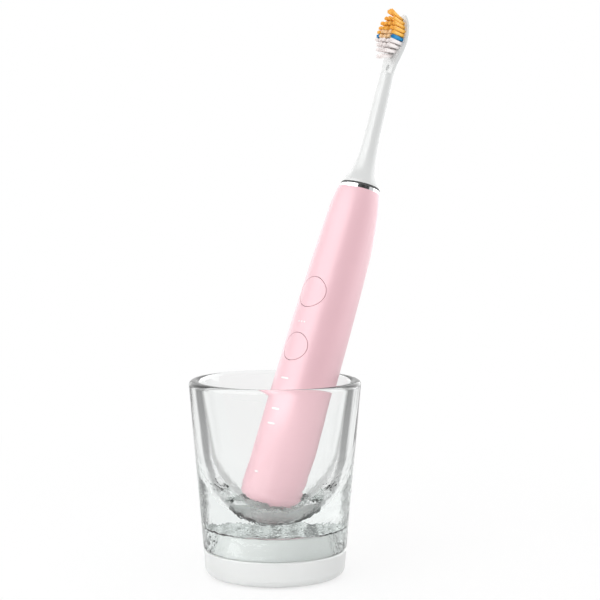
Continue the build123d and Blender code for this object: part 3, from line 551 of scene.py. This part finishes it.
def make_gap_shade_band():
    """Black band that lies over the collar's shoulder, under the gap to the brush head: painted shade of the gap.
    """
    profile = [*shoulder(BAND_GAP), *reversed([*shoulder(BAND_GAP + BAND_THICK)])]
    count = len(profile)
    vertices = []
    faces = []
    for step in range(BAND_STEPS):
        angle = 2 * math.pi * step / BAND_STEPS
        here = step * count
        after = (step + 1) % BAND_STEPS * count
        for k, (radius, height) in enumerate(profile):
            point = Vector((radius * math.cos(angle), radius * math.sin(angle), height))
            vertices.append(NECK @ (point * MM))
            other = (k + 1) % count
            faces.append((here + k, after + k, after + other, here + other))
    band = mesh_piece("collar_gap_shade", vertices, faces, smooth=False)
    # The dark grey rubber colour here is painted shade of the gap.
    band.data.materials.append(SURFACES["grey_rubber"])
    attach(band, "handle")


make_bristles()
make_plates()
make_gap_shade_band()


# Studio: white surroundings, a pale floor, soft lamps and glowing felt cards

def make_world():
    """White all round."""
    world = bpy.data.worlds.new("studio")
    world.use_nodes = True
    fill(world.node_tree, world.node_tree.nodes["Background"], Color=(1.0, 1.0, 1.0, 1.0), Strength=1.0)
    bpy.context.scene.world = world


def is_seen(tree):
    """One for camera, mirror and see-through rays, nought for the light that falls on things."""
    path = light_path(tree)
    straight = maths(tree, "MAXIMUM", path["Is Camera Ray"], path["Is Glossy Ray"])
    return maths(tree, "MAXIMUM", straight, path["Is Transmission Ray"])


def floor_level(tree, place, away):
    """Brightness of the floor: painted shade behind the object, to both sides, only where it is seen through the
    glass.
    """
    way = split(tree, vector_maths(tree, "NORMALIZE", place)["Vector"])
    slant = maths(tree, "MULTIPLY", maths(tree, "ABSOLUTE", way["X"]), way["Y"])
    corner = remap(tree, slant, DIM_SLANTS, (DIM_LEAST, 1.0), smooth=True)
    # Painted shade on the floor, for see-through rays only.
    painted_dim = maths(tree, "MULTIPLY", remap(tree, away, DIM_REACH, DIM_SHARES), corner)
    path = light_path(tree)
    through = maths(tree, "GREATER_THAN", path["Is Transmission Ray"], path["Diffuse Depth"])
    return maths(tree, "SUBTRACT", 1.0, maths(tree, "MULTIPLY", through, painted_dim))


def make_floor():
    """White paper that takes the object's shadow close by, and shows painted shade through the glass."""
    half = FLOOR_HALF
    corners = [(-half, -half, 0.0), (half, -half, 0.0), (half, half, 0.0), (-half, half, 0.0)]
    floor = mesh_piece("floor", corners, [(0, 1, 2, 3)], smooth=False)
    paper, tree, shader = new_material("white_paper")
    tree.nodes.remove(shader)
    place = object_place(tree)
    away = vector_maths(tree, "LENGTH", place)["Value"]
    matt = add(tree, "ShaderNodeBsdfDiffuse", Color=(*PAPER, 1.0))
    level = floor_level(tree, place, away)
    glow = add(tree, "ShaderNodeEmission", Color=(1.0, 1.0, 1.0, 1.0), Strength=level)
    share = remap(tree, away, SHADOW_REACH, (1 - SHADOW_SHARE, 1.0), smooth=True)
    both = add(tree, "ShaderNodeMixShader", Fac=maths(tree, "MULTIPLY", is_seen(tree), share))
    tree.links.new(matt.outputs["BSDF"], both.inputs[1])
    tree.links.new(glow.outputs["Emission"], both.inputs[2])
    show(tree, Surface=both.outputs["Shader"])
    floor.data.materials.append(paper)


def lamp(name, target, azimuth, rise, distance, size, power):
    """Soft rectangular lamp that points at its target."""
    data = bpy.data.lights.new(name, "AREA")
    data.shape = "RECTANGLE"
    data.size, data.size_y = size
    data.energy = power
    obj = link(bpy.data.objects.new(name, data))
    turn = math.radians(azimuth)
    up = math.radians(rise)
    way = Vector((math.sin(turn) * math.cos(up), -math.cos(turn) * math.cos(up), math.sin(up)))
    obj.location = Vector(target) + way * distance
    obj.rotation_euler = (-way).to_track_quat("-Z", "Y").to_euler()
    return obj


def make_lamps():
    """Key lamp, low fill for the charger, and softboxes for the sheen, hidden from the glass if behind."""
    lamp("key", MIDDLE, *KEY)
    low = lamp("low_fill", LOW_TARGET, *LOW_FILL)
    low.data.spread = math.radians(LOW_SPREAD)
    low.visible_glossy = False
    low.visible_transmission = False
    for name, setting in SOFTBOXES.items():
        softbox = lamp(name, MIDDLE, *setting)
        softbox.visible_diffuse = False
        softbox.visible_transmission = abs(setting[0]) < SIDE_ANGLE


def make_glowing_felt(name, dark, light):
    """Glowing card with dark and light folds painted into its glow. After a bounce it glows brighter, which lights
    the things that stand in the glass.
    """
    felt, tree, shader = new_material(name)
    tree.nodes.remove(shader)
    shade = remap(tree, noise(tree, FOLD_SCALE, FOLD_DETAIL), FOLD_ENDS, (dark, light))
    level = remap(tree, light_path(tree)["Diffuse Depth"], (0.0, 1.0), (shade, INSIDE_LIGHT))
    felt_glow = add(tree, "ShaderNodeEmission", Color=(*FELT, 1.0), Strength=level)
    show(tree, Surface=felt_glow.outputs["Emission"])
    return felt


def card(name, corners, felt, mirrored=False):
    """Card that only mirror rays meet, or only the see-through rays that draw the edges of the glass."""
    obj = mesh_piece(name, corners, [(0, 1, 2, 3)], smooth=False)
    obj.data.materials.append(felt)
    obj.visible_camera = False
    obj.visible_diffuse = False
    obj.visible_shadow = False
    obj.visible_glossy = mirrored
    obj.visible_transmission = not mirrored


def standing(azimuth, distance, size):
    """Corners of a card that stands on the floor and faces the object."""
    turn = math.radians(azimuth)
    foot = Vector((math.sin(turn), -math.cos(turn), 0.0)) * distance
    along = Vector((math.cos(turn), math.sin(turn), 0.0)) * (size[0] / 2)
    rise = Vector((0.0, 0.0, size[1]))
    return [foot - along, foot + along, foot + along + rise, foot - along + rise]


def make_cards():
    """Dark card in front for the mirrors, and grey cards round about and a dark canopy for the glass."""
    dark = make_glowing_felt("dark_glowing_felt", *DARK_FELT)
    grey = make_glowing_felt("grey_glowing_felt", *GREY_FELT)
    card("flag_front", standing(FRONT_ANGLE, FRONT_DISTANCE, FRONT_SIZE), dark, mirrored=True)
    for azimuth in range(0, 360, LOW_STEP):
        card(f"flag_low_{azimuth}", standing(azimuth, LOW_DISTANCE, LOW_SIZE), grey)
    half = CANOPY_HALF
    over = [(-half, -half), (-half, half), (half, half), (half, -half)]
    card("flag_over", [(x, y, CANOPY_HEIGHT) for x, y in over], dark)


def make_camera():
    """Camera at the photograph's viewing angle."""
    camera = link(bpy.data.objects.new("camera", bpy.data.cameras.new("camera")))
    camera.data.lens = CAMERA_LENS
    camera.data.sensor_width = CAMERA_SENSOR
    camera.location = CAMERA_PLACE
    camera.rotation_euler = (math.radians(90.0 - CAMERA_DOWN), 0.0, 0.0)
    bpy.context.scene.camera = camera


make_world()
make_floor()
make_lamps()
make_cards()
make_camera()
bpy.context.scene.view_settings.view_transform = "Standard"
